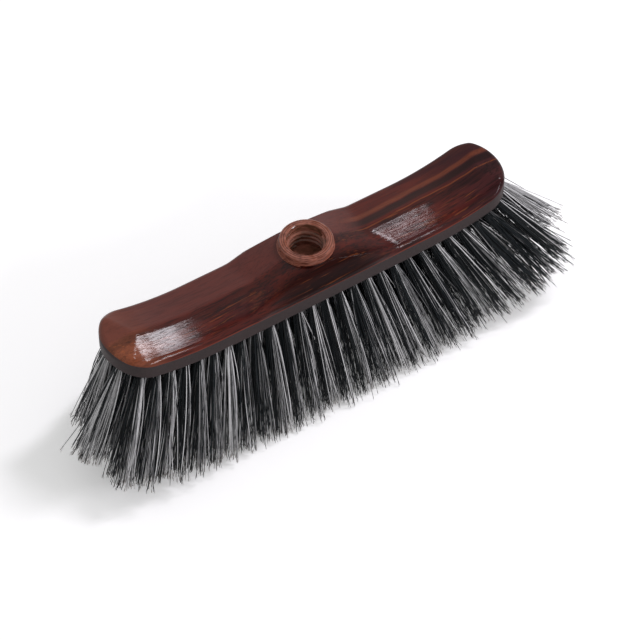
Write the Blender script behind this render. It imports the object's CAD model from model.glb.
from math import asin, cos, radians, sin, sqrt
import bpy
import numpy as np
from mathutils import Matrix, Vector


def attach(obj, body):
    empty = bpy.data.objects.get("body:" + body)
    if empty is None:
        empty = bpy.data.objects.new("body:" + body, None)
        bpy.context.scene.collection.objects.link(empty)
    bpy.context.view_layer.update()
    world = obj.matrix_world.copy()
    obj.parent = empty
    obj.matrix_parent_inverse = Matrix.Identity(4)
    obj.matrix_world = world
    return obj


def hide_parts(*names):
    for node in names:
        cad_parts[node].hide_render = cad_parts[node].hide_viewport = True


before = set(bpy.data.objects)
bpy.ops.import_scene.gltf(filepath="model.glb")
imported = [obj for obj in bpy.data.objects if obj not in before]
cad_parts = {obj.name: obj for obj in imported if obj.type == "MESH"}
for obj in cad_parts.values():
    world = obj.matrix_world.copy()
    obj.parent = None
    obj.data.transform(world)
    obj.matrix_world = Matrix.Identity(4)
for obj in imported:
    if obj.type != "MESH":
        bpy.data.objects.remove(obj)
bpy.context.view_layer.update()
print("frame loaded:", len(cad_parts), "nodes")

# Block, as the frame has it: level in the middle, its ends turning up on an arc
block = {
    "length": 0.285,
    "width": 0.0475,
    "noseLength": 0.0205,
    "standHeight": 0.074,
    "levelHalf": 0.076,
    "riseRadius": 0.18,
    "rimHeight": 0.009,
}
socket = {
    "y": 0.001,
    "boreRadius": 0.0122,
    "collarRadius": 0.0179,
    "collarFoot": 0.0984,
    "rings": (0.0139, 0.0152, 0.0166),
}


def halfWidthAt(x):
    past = max(abs(x) - block["length"] / 2 + block["noseLength"], 0) / block["noseLength"]
    return block["width"] / 2 * sqrt(max(1 - past**2, 0))


def curveAt(along):  # x and z of the plate's underside, and how far it has turned
    turn = max(abs(along) - block["levelHalf"], 0) / block["riseRadius"]
    side = 1 if along >= 0 else -1
    x = side * (min(abs(along), block["levelHalf"]) + block["riseRadius"] * sin(turn))
    return x, block["standHeight"] + block["riseRadius"] * (1 - cos(turn)), side * turn


# Small helpers for shader nodes
def setInput(tree, socketIn, value):
    if isinstance(value, bpy.types.NodeSocket):
        tree.links.new(value, socketIn)
    else:
        socketIn.default_value = value


def maths(tree, operation, *values):
    node = tree.nodes.new("ShaderNodeMath")
    node.operation = operation
    for socketIn, value in zip(node.inputs, values):
        setInput(tree, socketIn, value)
    return node.outputs[0]


def times(tree, first, second):
    return maths(tree, "MULTIPLY", first, second)


def rest(tree, value):  # what is left of 1
    return maths(tree, "SUBTRACT", 1.0, value)


def weighted(tree, start, *pairs):  # start, plus each value times its weight
    total = start
    for value, weight in pairs:
        total = maths(tree, "ADD", times(tree, value, weight), total)
    return total


def fade(tree, value, low, high):  # 0 below low, 1 above high, smooth between
    node = tree.nodes.new("ShaderNodeMapRange")
    node.interpolation_type = "SMOOTHSTEP"
    for socketIn, amount in zip(node.inputs, (value, low, high, 0.0, 1.0)):
        setInput(tree, socketIn, amount)
    return node.outputs[0]


def band(tree, value, middle, half, soft):  # 1 near the middle, 0 away from it
    away = maths(tree, "ABSOLUTE", maths(tree, "SUBTRACT", value, middle))
    return rest(tree, fade(tree, away, half, half + soft))


def tint(tree, factor, first, second):
    node = tree.nodes.new("ShaderNodeMix")
    node.data_type = "RGBA"
    for index, value in ((0, factor), (6, first), (7, second)):
        setInput(tree, node.inputs[index], value)
    return node.outputs[2]


def ramp(tree, value, stops):
    node = tree.nodes.new("ShaderNodeValToRGB")
    elements = node.color_ramp.elements
    while len(elements) < len(stops):
        elements.new(0.5)
    for element, (place, colour) in zip(elements, stops):
        element.position = place
        element.color = (*colour, 1)
    setInput(tree, node.inputs[0], value)
    return node.outputs[0]


def grain(tree, place, scales, detail, shift):  # noise with its own scale along each axis
    mapping = tree.nodes.new("ShaderNodeMapping")
    mapping.inputs["Scale"].default_value = scales
    mapping.inputs["Location"].default_value = (shift, shift, shift)
    tree.links.new(place, mapping.inputs["Vector"])
    noise = tree.nodes.new("ShaderNodeTexNoise")
    noise.inputs["Scale"].default_value = 1.0
    noise.inputs["Detail"].default_value = detail
    tree.links.new(mapping.outputs[0], noise.inputs["Vector"])
    return noise.outputs[0]


def bump(tree, height, strength, distance, under=None):
    node = tree.nodes.new("ShaderNodeBump")
    if under is not None:
        tree.links.new(under, node.inputs["Normal"])
    node.inputs["Strength"].default_value = strength
    node.inputs["Distance"].default_value = distance
    tree.links.new(height, node.inputs["Height"])
    return node.outputs[0]


def newFinish(name, values):  # a material with its node tree, its shader and the place on the object
    material = bpy.data.materials.new(name)
    material.use_nodes = True
    tree = material.node_tree
    shader = tree.nodes["Principled BSDF"]
    for key, value in values.items():
        shader.inputs[key].default_value = value
    place = tree.nodes.new("ShaderNodeTexCoord").outputs["Object"]
    return material, tree, shader, place


# Wood-look finish of the block under clear lacquer
wood = {
    "shader": {"IOR": 1.4, "Specular IOR Level": 0.0, "Coat Roughness": 0.13, "Coat IOR": 1.26},
    "colours": {
        "dark": (0.008, 0.003, 0.003),
        "maroon": (0.042, 0.005, 0.005),
        "red": (0.088, 0.011, 0.006),
        "warm": (0.17, 0.042, 0.018),
        "orange": (0.4, 0.11, 0.028),
        "rear": (0.115, 0.03, 0.024),
        "golden": (0.27, 0.08, 0.036),
        "rightNose": (0.033, 0.011, 0.014),
        "collarDark": (0.1, 0.028, 0.018),
        "collar": (0.31, 0.115, 0.08),
        "thread": (0.12, 0.05, 0.028),
        "rimLine": (0.2, 0.035, 0.018),
    },
    "blends": {  # places on a noise's range and the colours there
        "broad": ((0.3, "maroon"), (0.47, "red"), (0.62, "maroon"), (0.75, "warm")),
        "collar": ((0.3, "collarDark"), (0.5, "collar"), (0.72, "warm")),
        "thread": ((0.35, "thread"), (0.65, "collar")),
    },
    "grains": {  # scales along x, y and z, detail, and a shift that sets each noise apart
        "broad": ((11, 75, 75), 4.0, 0.0),
        "wander": ((22, 5, 5), 2.0, 7.0),
        "uneven": ((25, 60, 60), 2.0, 31.0),
        "mottle": ((32, 240, 240), 3.0, 17.0),
        "pores": ((85, 900, 900), 2.0, 3.0),
        "flecks": ((55, 1000, 1000), 2.0, 11.0),
        "zone": ((14, 60, 60), 2.0, 5.0),
        "crackle": ((90, 1000, 1000), 2.0, 13.0),
        "swirl": ((160, 160, 700), 3.0, 2.0),
        "wobble": ((90, 90, 90), 2.0, 6.0),
        "wear": ((55, 55, 55), 5.0, 9.0),
        "waves": ((70, 120, 120), 2.0, 21.0),
    },
    "cuts": {  # where on a noise's range its marks begin, and where they are full
        "mottle": (0.5, 0.7),
        "pores": (0.5, 0.62),
        "flecks": (0.58, 0.68),
        "zone": (0.42, 0.62),
        "crackle": (0.42, 0.6),
    },
    "fades": {  # along x or y, metres
        "leftNose": (-0.138, -0.1),
        "rightNose": (0.085, 0.125),
        "rightHalf": (0.02, 0.045),
        "apron": (-0.018, -0.008),
        "behindRidge": (-0.003, 0.001),
        "fleckEnd": (0.105, 0.13),
        "thinCoat": (-0.0165, -0.0125),
        "thinCoatEdge": (-0.0205, -0.0185),
        "rolledEdge": (-0.0232, -0.0192),
    },
    "bands": {  # middle, half width and soft edge, metres
        "orangeStreak": (0.0085, 0.0007, 0.002),
        "darkStreak": (0.0035, 0.0015, 0.0022),
        "ridgeLine": (-0.0018, 0.0001, 0.0006),
        "ridgeShade": (-0.005, 0.001, 0.004),
        "apron": (0.0, 0.02, 0.03),
        "rolledEdge": (0.0, 0.112, 0.015),
    },
    "ringLine": (0.0001, 0.0003),
    "rimLine": (0.0003, 0.0006),
    "shares": {  # how strongly each mark shows
        "leftNose": 0.75,
        "rightNose": 0.7,
        "orangeStreak": 0.65,
        "darkStreak": 0.75,
        "ridgeLine": 0.35,
        "ridgeShade": 0.45,
        "apron": 0.8,
        "behindRidge": 0.7,
        "grainBehind": 0.7,
        "grainOnNose": 0.7,
        "mottle": 0.4,
        "darkDash": 0.6,
        "lightDash": 0.3,
        "ring": 0.6,
        "rimLine": 0.8,
        "darkCoat": 0.6,
        "thinCoat": 0.55,
    },
    "wander": 0.007,
    "uneven": 0.004,
    "wobble": 0.0006,
    "roughness": 0.22,
    "wearRoughness": 0.25,
    "collarRoughness": 0.22,
    "poreRelief": -0.7,
    "wearRelief": 0.5,
    "grainBump": 0.5,
    "grainDepth": 0.0003,
    "lacquerRelief": 0.35,
    "lacquerCrackle": 0.3,
    "lacquerWave": 2.5,
    "lacquerBump": 0.14,
    "rollDepth": 0.0011,
}


def makeWood():
    fades, bands, shares = wood["fades"], wood["bands"], wood["shares"]
    material, tree, shader, place = newFinish("lacqueredWoodLook", wood["shader"])
    split = tree.nodes.new("ShaderNodeSeparateXYZ")
    tree.links.new(place, split.inputs[0])
    x, y, z = split.outputs
    past = maths(tree, "SUBTRACT", maths(tree, "ABSOLUTE", x), block["levelHalf"])
    past = maths(tree, "MAXIMUM", past, 0.0)
    rise = maths(tree, "DIVIDE", maths(tree, "POWER", past, 2.0), 2 * block["riseRadius"])
    level = maths(tree, "SUBTRACT", z, rise)  # height with the block's curve taken out
    flow = tree.nodes.new("ShaderNodeCombineXYZ")
    for socketIn, value in zip(flow.inputs, (x, y, level)):
        setInput(tree, socketIn, value)

    def noise(name, source=flow.outputs[0]):
        return grain(tree, source, *wood["grains"][name])

    def marks(name):
        return fade(tree, noise(name), *wood["cuts"][name])

    def blend(name, value):
        return ramp(tree, value, [(stop, wood["colours"][key]) for stop, key in wood["blends"][name]])

    def stain(under, mask, name, colourName):
        return tint(tree, times(tree, mask, shares[name]), under, (*wood["colours"][colourName], 1))

    colour = blend("broad", noise("broad"))
    leftNose = rest(tree, fade(tree, x, *fades["leftNose"]))
    colour = stain(colour, leftNose, "leftNose", "golden")
    rightNose = fade(tree, x, *fades["rightNose"])
    colour = stain(colour, rightNose, "rightNose", "rightNose")

    # Long streaks beside the ridge on the right half
    rightHalf = fade(tree, x, *fades["rightHalf"])
    shifted = weighted(tree, y, (maths(tree, "SUBTRACT", noise("wander"), 0.5), wood["wander"]))
    for name, colourName in (("orangeStreak", "warm"), ("darkStreak", "dark"), ("ridgeLine", "orange")):
        streak = times(tree, band(tree, shifted, *bands[name]), rightHalf)
        colour = stain(colour, streak, name, colourName)

    # Dark apron below the socket, shade along the ridge, and a smoother, browner roof behind it
    apron = times(tree, band(tree, x, *bands["apron"]), rest(tree, fade(tree, y, *fades["apron"])))
    colour = stain(colour, apron, "apron", "dark")
    colour = stain(colour, band(tree, shifted, *bands["ridgeShade"]), "ridgeShade", "dark")
    behind = fade(tree, y, *fades["behindRidge"])
    colour = stain(colour, times(tree, behind, rest(tree, rightHalf)), "behindRidge", "rear")

    # Fine grain: soft dark mottles, dark dashes, then short light ones
    frontShare = rest(tree, times(tree, behind, shares["grainBehind"]))
    colour = stain(colour, times(tree, marks("mottle"), frontShare), "mottle", "dark")
    pores = marks("pores")
    offNose = rest(tree, times(tree, leftNose, shares["grainOnNose"]))
    darkDash = times(tree, times(tree, pores, frontShare), offNose)
    colour = stain(colour, darkDash, "darkDash", "dark")
    lightDash = times(tree, times(tree, marks("flecks"), marks("zone")), frontShare)
    lightDash = times(tree, lightDash, rest(tree, fade(tree, x, *fades["fleckEnd"])))
    colour = stain(colour, lightDash, "lightDash", "orange")

    # Collar with its rings, thread, and the thin line where the cover meets the plate
    aside = maths(tree, "SUBTRACT", y, socket["y"])
    squares = maths(tree, "ADD", maths(tree, "POWER", x, 2.0), maths(tree, "POWER", aside, 2.0))
    fromAxis = maths(tree, "SQRT", squares)
    inCollar = maths(tree, "LESS_THAN", fromAxis, socket["collarRadius"])
    onCollar = times(tree, inCollar, maths(tree, "GREATER_THAN", z, socket["collarFoot"]))
    swirl = noise("swirl", place)
    colour = tint(tree, onCollar, colour, blend("collar", swirl))
    wobble = weighted(tree, fromAxis, (noise("wobble", place), wood["wobble"]))
    for radius in socket["rings"]:
        ring = times(tree, band(tree, wobble, radius, *wood["ringLine"]), onCollar)
        colour = stain(colour, ring, "ring", "dark")
    inBore = maths(tree, "LESS_THAN", fromAxis, socket["boreRadius"])
    colour = tint(tree, inBore, colour, blend("thread", swirl))
    rimLine = band(tree, level, block["standHeight"] + block["rimHeight"], *wood["rimLine"])
    colour = stain(colour, rimLine, "rimLine", "rimLine")
    tree.links.new(colour, shader.inputs["Base Color"])

    # Lacquer, thinner on the dark parts and on the lower half of the front face
    darkPart = maths(tree, "MAXIMUM", apron, times(tree, rightNose, shares["rightNose"]))
    coat = rest(tree, times(tree, darkPart, shares["darkCoat"]))
    uneven = weighted(tree, y, (noise("uneven"), wood["uneven"]))
    lowHalf = rest(tree, fade(tree, uneven, *fades["thinCoat"]))
    lowHalf = times(tree, lowHalf, fade(tree, y, *fades["thinCoatEdge"]))
    coat = times(tree, coat, rest(tree, times(tree, lowHalf, shares["thinCoat"])))
    tree.links.new(coat, shader.inputs["Coat Weight"])

    # Handling wear, the grain's relief, and the lacquer's own waves over the rolled front edge
    wear = noise("wear", place)
    rough = weighted(tree, wood["roughness"], (wear, wood["wearRoughness"]))
    rough = weighted(tree, rough, (onCollar, wood["collarRoughness"]))
    tree.links.new(rough, shader.inputs["Roughness"])
    relief = weighted(tree, 0.0, (pores, wood["poreRelief"]), (wear, wood["wearRelief"]))
    tree.links.new(bump(tree, relief, wood["grainBump"], wood["grainDepth"]), shader.inputs["Normal"])
    lacquer = weighted(
        tree, 0.0,
        (relief, wood["lacquerRelief"]),
        (marks("crackle"), wood["lacquerCrackle"]),
        (noise("waves", place), wood["lacquerWave"]),
    )
    rolled = times(tree, fade(tree, y, *fades["rolledEdge"]), band(tree, x, *bands["rolledEdge"]))
    rolledEdge = bump(tree, rolled, 1.0, wood["rollDepth"])
    lacquered = bump(tree, lacquer, wood["lacquerBump"], wood["grainDepth"], rolledEdge)
    tree.links.new(lacquered, shader.inputs["Coat Normal"])
    return material


# Matt moulded plastic of the plate under the cover
plate = {
    "shader": {"IOR": 1.4, "Specular IOR Level": 0.35},
    "stops": ((0.35, (0.022, 0.014, 0.014)), (0.68, (0.042, 0.027, 0.027))),
    "fine": ((900, 900, 900), 3.0, 0.0),
    "soft": ((40, 40, 90), 4.0, 4.0),
    "fineShare": 0.4,
    "softShare": 0.6,
    "roughness": 0.5,
    "softRoughness": 0.2,
    "texture": 0.15,
    "textureDepth": 0.0001,
}


def makePlate():
    material, tree, shader, place = newFinish("mouldedPlate", plate["shader"])
    fine = grain(tree, place, *plate["fine"])
    soft = grain(tree, place, *plate["soft"])
    cloud = weighted(tree, 0.0, (fine, plate["fineShare"]), (soft, plate["softShare"]))
    tree.links.new(ramp(tree, cloud, plate["stops"]), shader.inputs["Base Color"])
    rough = weighted(tree, plate["roughness"], (soft, plate["softRoughness"]))
    tree.links.new(rough, shader.inputs["Roughness"])
    tree.links.new(bump(tree, fine, plate["texture"], plate["textureDepth"]), shader.inputs["Normal"])
    return material


# Flat steel wire of the anchors
steel = {
    "shader": {"Metallic": 1.0},
    "stops": ((0.3, (0.32, 0.32, 0.33)), (0.7, (0.62, 0.62, 0.63))),
    "scratches": ((200, 3000, 3000), 3.0, 0.0),
    "roughness": 0.25,
    "scratchRoughness": 0.3,
}


def makeSteel():
    material, tree, shader, place = newFinish("anchorSteel", steel["shader"])
    scratches = grain(tree, place, *steel["scratches"])
    tree.links.new(ramp(tree, scratches, steel["stops"]), shader.inputs["Base Color"])
    rough = weighted(tree, steel["roughness"], (scratches, steel["scratchRoughness"]))
    tree.links.new(rough, shader.inputs["Roughness"])
    return material


# Synthetic bristles: each strand has its own shade, and its tip is frayed and dull
bristle = {
    "shader": {"IOR": 1.4, "Specular IOR Level": 0.28},
    "black": {"low": (0.002, 0.003, 0.004), "high": (0.008, 0.012, 0.015), "tip": (0.05, 0.043, 0.038)},
    "grey": {"low": (0.13, 0.13, 0.135), "high": (0.92, 0.91, 0.92), "tip": (0.33, 0.29, 0.26)},
    "stops": (0.25, 0.75),
    "speck": ((500, 500, 120), 2.0, 0.0),
    "shadeShare": 0.75,
    "speckShare": 0.3,
    "frayed": (0.93, 1.0),
    "frayedShare": 0.8,
    "roughness": 0.38,
    "frayedRoughness": 0.3,
}


def makeBristle(name):
    colours = bristle[name]
    material, tree, shader, place = newFinish(name + "Bristle", bristle["shader"])
    shade, along = [tree.nodes.new("ShaderNodeAttribute") for _ in range(2)]
    shade.attribute_name = "strandShade"
    along.attribute_name = "strandAlong"
    speck = grain(tree, place, *bristle["speck"])
    value = weighted(tree, 0.0, (shade.outputs["Fac"], bristle["shadeShare"]))
    value = weighted(tree, value, (speck, bristle["speckShare"]))
    body = ramp(tree, value, list(zip(bristle["stops"], (colours["low"], colours["high"]))))
    frayed = fade(tree, along.outputs["Fac"], *bristle["frayed"])
    colour = tint(tree, times(tree, frayed, bristle["frayedShare"]), body, (*colours["tip"], 1))
    tree.links.new(colour, shader.inputs["Base Color"])
    rough = weighted(tree, bristle["roughness"], (frayed, bristle["frayedRoughness"]))
    tree.links.new(rough, shader.inputs["Roughness"])
    return material


finishes = {
    "wood": makeWood(),
    "plate": makePlate(),
    "steel": makeSteel(),
    "black": makeBristle("black"),
    "grey": makeBristle("grey"),
}
print("finishes made:", ", ".join(finishes))

cadFinishes = {
    "block_cover": "wood",
    "tuft_plate": "plate",
    "anchors_front_row": "steel",
    "anchors_front_inner_row": "steel",
    "anchors_rear_inner_row": "steel",
    "anchors_rear_row": "steel",
}
for nodeName, finish in cadFinishes.items():
    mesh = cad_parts[nodeName].data
    mesh.materials.clear()
    mesh.materials.append(finishes[finish])

# Tufts: where they stand, as the frame has them
tuft = {
    "pitch": 0.0099,
    "endInset": 0.0075,
    "eachSide": 13,
    "rows": (-1, -1 / 3, 1 / 3, 1),
    "endRows": (-0.6, 0.6),
    "wall": 0.003,
    "holeRadius": 0.0025,
    "rootRadius": 0.0021,
    "rootDepth": 0.0012,
}

# Strands of one tuft: how they fan out, stray, bow and end, and which are grey
strand = {
    "count": 84,
    "blackRadius": 0.00025,
    "greyRadius": 0.00028,
    "fanLeft": 1.25,
    "fanRight": 1.33,
    "fanAcross": 2.4,
    "rearTuck": 0.18,
    "rearDraw": 0.3,
    "drawFrom": 0.09,
    "spreadAlong": 0.0062,
    "spreadAcross": 0.0092,
    "strayAlong": 0.002,
    "strayAcross": 0.0024,
    "strayLimit": 2,
    "wildShare": 0.12,
    "wildAlong": 0.006,
    "bow": 0.0013,
    "bowShape": (1, 1, 0.3),
    "bowOut": 0.6,
    "uneven": 0.0022,
    "trimLevelHalf": 0.042,
    "trimRadius": 0.35,
    "floorGap": 0.0005,
    "greyShare": 0.3,
    "greyDrift": 1.9,
    "greyLean": 0.5,
    "greyMix": 0.22,
    "loneGrey": 0.06,
    "endGreyShare": 0.85,
    "rings": 8,
    "acrossFrom": (0.3, 1.0, 0.1),
    "taperAt": (0, 0.8, 1),
    "taper": (1, 0.95, 0.7),
}

# Split hairs at the tips
fray = {
    "share": 0.8,
    "length": 0.0045,
    "spread": (0.0011, 0.0011, 0.0004),
    "radius": 0.55,
    "taper": (1, 0.95, 0.45),
    "shade": 0.6,
    "from": 0.9,
}
strip = {"height": 0.002, "gap": 0.0003, "steps": 4}
random = np.random.default_rng(41)


def tipHeight(x):
    return np.maximum(np.abs(x) - strand["trimLevelHalf"], 0) ** 2 / (2 * strand["trimRadius"])


def tuftStrands(along, share, greyShare):  # paths of one tuft's strands, and which of them are grey
    count = strand["count"]
    footX, footZ, turn = curveAt(along)
    reach = halfWidthAt(abs(footX) + tuft["holeRadius"]) - tuft["wall"] - tuft["holeRadius"]
    radius = np.sqrt(random.random(count))
    angle = random.random(count) * 2 * np.pi
    u, v = radius * np.cos(angle), radius * np.sin(angle)
    roots = np.stack([
        footX + u * tuft["rootRadius"] * cos(turn) - tuft["rootDepth"] * sin(turn),
        share * reach + v * tuft["rootRadius"],
        footZ + u * tuft["rootRadius"] * sin(turn) + tuft["rootDepth"] * cos(turn),
    ], axis=1)
    fan = (strand["fanRight"] if footX > 0 else strand["fanLeft"]) - strand["rearTuck"] * max(share, 0)
    stray = np.where(random.random(count) < strand["wildShare"], strand["wildAlong"], strand["strayAlong"])
    stray = stray * np.clip(random.normal(0, 1, count), -strand["strayLimit"], strand["strayLimit"])
    tipX = footX * fan + u * strand["spreadAlong"] + stray
    nearEnd = max(abs(footX) - strand["drawFrom"], 0) / (block["length"] / 2 - strand["drawFrom"])
    across = strand["fanAcross"] * (1 - strand["rearDraw"] * min(nearEnd, 1) * max(share, 0))
    tipY = share * reach * across + v * strand["spreadAcross"]
    tipY = tipY + random.normal(0, strand["strayAcross"], count)
    tipZ = tipHeight(tipX) + strand["floorGap"] + np.abs(random.normal(0, strand["uneven"], count))
    tips = np.stack([tipX, tipY, tipZ], axis=1)
    bows = random.normal(0, strand["bow"], (count, 3)) * strand["bowShape"]
    bows[:, 1] += np.sign(share) * strand["bow"] * strand["bowOut"]
    lean = random.normal(0, strand["greyLean"])  # which side of the tuft holds its grey strands
    side = u * cos(lean) + v * sin(lean) + random.normal(0, strand["greyMix"], count)
    grey = (side > np.quantile(side, 1 - greyShare)) | (random.random(count) < strand["loneGrey"])
    return roots, tips, bows, grey


def strandMesh(roots, tips, bows, radius, shape):  # four-sided tapering strands, as points and faces
    rings, count = strand["rings"], len(roots)
    steps = np.linspace(0, 1, rings)
    path = roots[:, None] + (tips - roots)[:, None] * steps[None, :, None]
    path = path + bows[:, None] * (4 * steps * (1 - steps))[None, :, None]
    forward = (tips - roots) / np.linalg.norm(tips - roots, axis=1, keepdims=True)
    across = np.cross(forward, strand["acrossFrom"])
    across = across / np.linalg.norm(across, axis=1, keepdims=True)
    up = np.cross(forward, across)
    taper = radius * np.interp(steps, strand["taperAt"], shape)
    corners = np.array([(1, 1), (-1, 1), (-1, -1), (1, -1)]) * sqrt(0.5)
    offset = corners[:, 0, None] * across[:, None] + corners[:, 1, None] * up[:, None]
    points = path[:, :, None] + offset[:, None] * taper[None, :, None, None]
    base = (np.arange(count) * rings * 4)[:, None, None, None]
    ring = (np.arange(rings - 1) * 4)[None, :, None, None]
    corner = np.arange(4)[None, None, :, None]
    following = (corner + 1) % 4
    quads = np.concatenate([
        base + ring + corner,
        base + ring + following,
        base + ring + following + 4,
        base + ring + corner + 4,
    ], axis=3)
    start = base[:, 0, 0] + np.array([3, 2, 1, 0])
    end = base[:, 0, 0] + (rings - 1) * 4 + np.array([0, 1, 2, 3])
    faces = np.concatenate([quads.reshape(-1, 4), start, end])
    return points.reshape(-1, 3), faces, np.repeat(np.tile(steps, count), 4)


def frayedTips(roots, tips, bows):  # short split hairs past the bend of a strand's tip
    chosen = random.random(len(roots)) < fray["share"]
    roots, tips, bows = roots[chosen], tips[chosen], bows[chosen]
    length = np.linalg.norm(tips - roots, axis=1, keepdims=True)
    share = 1 - fray["length"] / length
    starts = roots + (tips - roots) * share + bows * 4 * share * (1 - share)
    ends = tips + random.normal(0, 1, tips.shape) * fray["spread"]
    ends[:, 2] = np.maximum(ends[:, 2], strand["floorGap"])
    return starts, ends, np.zeros_like(starts)


def stripMesh(along, length):  # slice of the backing that carries one column
    points, faces = [], []
    for index in range(strip["steps"] + 1):
        place = along + length * (index / strip["steps"] - 0.5)
        x, z, turn = curveAt(place)
        half = max(halfWidthAt(x) - tuft["wall"] - strip["gap"], tuft["wall"])
        for y, above in ((-half, 0), (half, 0), (half, strip["height"]), (-half, strip["height"])):
            points.append((x - above * sin(turn), y, z + above * cos(turn)))
    last = 4 * strip["steps"]
    for index in range(0, last, 4):
        for corner in range(4):
            following = (corner + 1) % 4
            faces.append((index + corner, index + 4 + corner, index + 4 + following, index + following))
    faces += [(0, 1, 2, 3), (last + 3, last + 2, last + 1, last)]
    return np.array(points), np.array(faces)


def makePiece(name, parts, finish, nodeName):
    points, faces, alongs, shades, kinds, offset = [], [], [], [], [], 0
    for partPoints, partFaces, partAlong, partShade, kind in parts:
        points.append(partPoints)
        faces.append(partFaces + offset)
        alongs.append(partAlong)
        shades.append(partShade)
        kinds.append(np.full(len(partFaces), kind))
        offset += len(partPoints)
    mesh = bpy.data.meshes.new(name)
    mesh.from_pydata(np.concatenate(points), [], np.concatenate(faces))
    for key, values in (("strandAlong", alongs), ("strandShade", shades)):
        attribute = mesh.attributes.new(key, "FLOAT", "POINT")
        attribute.data.foreach_set("value", np.concatenate(values).astype(np.float32))
    mesh.materials.append(finish)
    mesh.materials.append(finishes["plate"])
    mesh.polygons.foreach_set("material_index", np.concatenate(kinds).astype(np.int32))
    mesh.polygons.foreach_set("use_smooth", np.concatenate(kinds) == 0)
    mesh.validate()
    mesh.update()
    piece = bpy.data.objects.new(name, mesh)
    bpy.context.scene.collection.objects.link(piece)
    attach(piece, "root")
    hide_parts(nodeName)


def strandParts(roots, tips, bows, radius):  # strands and their split hairs, with shade and place along each
    shade = random.random(len(roots))
    points, faces, alongs = strandMesh(roots, tips, bows, radius, strand["taper"])
    whole = (points, faces, alongs, np.repeat(shade, strand["rings"] * 4), 0)
    hairs = frayedTips(roots, tips, bows)
    points, faces, alongs = strandMesh(*hairs, radius * fray["radius"], fray["taper"])
    alongs = fray["from"] + alongs * (1 - fray["from"])
    return [whole, (points, faces, alongs, np.full(len(points), fray["shade"]), 0)]


def makeColumn(nodeName, along, length, rows, greyShare):
    groups = [tuftStrands(along, share, greyShare) for share in rows]
    roots, tips, bows, grey = (np.concatenate(values) for values in zip(*groups))
    stripPoints, stripFaces = stripMesh(along, length)
    blank = np.zeros(len(stripPoints))
    dark = strandParts(roots[~grey], tips[~grey], bows[~grey], strand["blackRadius"])
    dark.append((stripPoints, stripFaces, blank, blank, 1))
    light = strandParts(roots[grey], tips[grey], bows[grey], strand["greyRadius"])
    makePiece(nodeName + "_black", dark, finishes["black"], nodeName)
    makePiece(nodeName + "_grey", light, finishes["grey"], nodeName)


bend = asin((block["length"] / 2 - block["levelHalf"]) / block["riseRadius"])
endAlong = block["levelHalf"] + block["riseRadius"] * bend - tuft["endInset"]
endLength = 2 * (endAlong - (tuft["eachSide"] + 1 / 2) * tuft["pitch"]) - strip["gap"]
for step in range(-tuft["eachSide"], tuft["eachSide"] + 1):
    columnName = f"tuft_column_{step + tuft['eachSide'] + 1:02d}"
    columnGrey = strand["greyShare"] - strand["greyDrift"] * step * tuft["pitch"]
    makeColumn(columnName, step * tuft["pitch"], tuft["pitch"] - strip["gap"], tuft["rows"], columnGrey)
makeColumn("tufts_left_end", -endAlong, endLength, tuft["endRows"], strand["endGreyShare"])
makeColumn("tufts_right_end", endAlong, endLength, tuft["endRows"], strand["endGreyShare"])
print("tufts made:", 2 * tuft["eachSide"] + 3, "columns")

# White floor and plain soft light
studio = {
    "floorSize": 8.0,
    "floorDrop": 0.0002,
    "floorWhite": (1.0, 1.0, 1.0, 1.0),
    "floorBounce": (0.6, 0.6, 0.6, 1.0),
    "floorGlow": 0.2,
    "skyLight": 0.56,
    "lampColour": (0.97, 0.94, 1.0),
    "lamps": {
        "overhead": {"place": (0.92, -0.04, 1.42), "size": (0.22, 0.42), "power": 9.0},
        "side": {"place": (0.646, -0.097, 1.5), "size": (0.045, 0.11), "power": 0.55},
        "front": {"place": (0.85, -1.15, 0.85), "size": (0.45, 0.14), "power": 6.0},
    },
}


def onlySeen(tree):  # 1 where the eye, a reflection or a clear material looks, 0 for light on things
    path = tree.nodes.new("ShaderNodeLightPath")
    seen = maths(tree, "MAXIMUM", path.outputs["Is Camera Ray"], path.outputs["Is Glossy Ray"])
    return maths(tree, "MAXIMUM", seen, path.outputs["Is Transmission Ray"])


def makeFloor():
    half = studio["floorSize"] / 2
    corners = [(-half, -half), (half, -half), (half, half), (-half, half)]
    mesh = bpy.data.meshes.new("floor")
    mesh.from_pydata([(x, y, -studio["floorDrop"]) for x, y in corners], [], [(0, 1, 2, 3)])
    matt = {"Roughness": 1.0, "Specular IOR Level": 0.0, "Emission Strength": studio["floorGlow"]}
    material, tree, shader, _ = newFinish("paleFloor", matt)
    seen = onlySeen(tree)
    colour = tint(tree, seen, studio["floorBounce"], studio["floorWhite"])
    tree.links.new(colour, shader.inputs["Base Color"])
    tree.links.new(seen, shader.inputs["Emission Color"])
    mesh.materials.append(material)
    floor = bpy.data.objects.new("floor", mesh)
    bpy.context.scene.collection.objects.link(floor)


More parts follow.
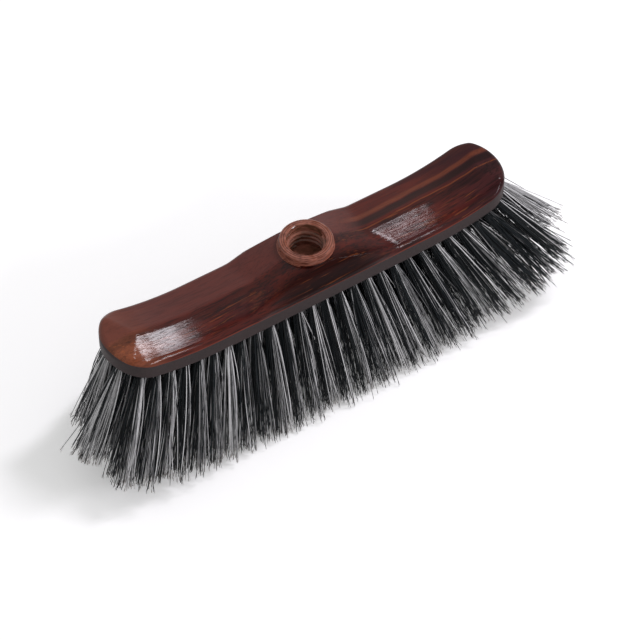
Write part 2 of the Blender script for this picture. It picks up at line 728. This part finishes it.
def makeLamp(name, values):
    lamp = bpy.data.lights.new(name + "Lamp", "AREA")
    lamp.shape = "ELLIPSE"
    lamp.size, lamp.size_y = values["size"]
    lamp.energy = values["power"]
    lamp.color = studio["lampColour"]
    holder = bpy.data.objects.new(name + "Lamp", lamp)
    aim = Vector((0, 0, block["standHeight"]))
    holder.location = values["place"]
    holder.rotation_euler = (holder.location - aim).to_track_quat("Z", "Y").to_euler()
    bpy.context.scene.collection.objects.link(holder)


def makeSky():
    world = bpy.data.worlds.new("studioWorld")
    world.use_nodes = True
    tree = world.node_tree
    background = tree.nodes["Background"]
    background.inputs["Color"].default_value = (1, 1, 1, 1)
    light = weighted(tree, studio["skyLight"], (onlySeen(tree), 1 - studio["skyLight"]))
    tree.links.new(light, background.inputs["Strength"])
    bpy.context.scene.world = world


makeFloor()
for lampName, lampValues in studio["lamps"].items():
    makeLamp(lampName, lampValues)
makeSky()

# Camera at the photograph's viewing angle, worked out for a frame of 640 by 640
camera = {
    "azimuth": 33.006,
    "elevation": 50,
    "distance": 1.636,
    "shiftRight": 0.008137,
    "shiftUp": -0.02874,
    "focalPixels": 2652,
    "framePixels": 640,
    "sensor": 36,
}
turn, tip = radians(camera["azimuth"]), radians(camera["elevation"])
right = Vector((cos(turn), -sin(turn), 0))
forward = Vector((sin(turn) * cos(tip), cos(turn) * cos(tip), -sin(tip)))
up = right.cross(forward)
lens = bpy.data.cameras.new("photoCamera")
lens.sensor_fit = "HORIZONTAL"
lens.sensor_width = camera["sensor"]
lens.lens = camera["sensor"] * camera["focalPixels"] / camera["framePixels"]
eye = bpy.data.objects.new("photoCamera", lens)
target = Vector((0, 0, block["standHeight"]))
location = target + right * camera["shiftRight"] + up * camera["shiftUp"] - forward * camera["distance"]
axes = Matrix((right, up, -forward)).transposed().to_4x4()
eye.matrix_world = Matrix.Translation(location) @ axes
bpy.context.scene.collection.objects.link(eye)
bpy.context.scene.camera = eye
bpy.context.scene.view_settings.view_transform = "Standard"
print("studio and camera set")
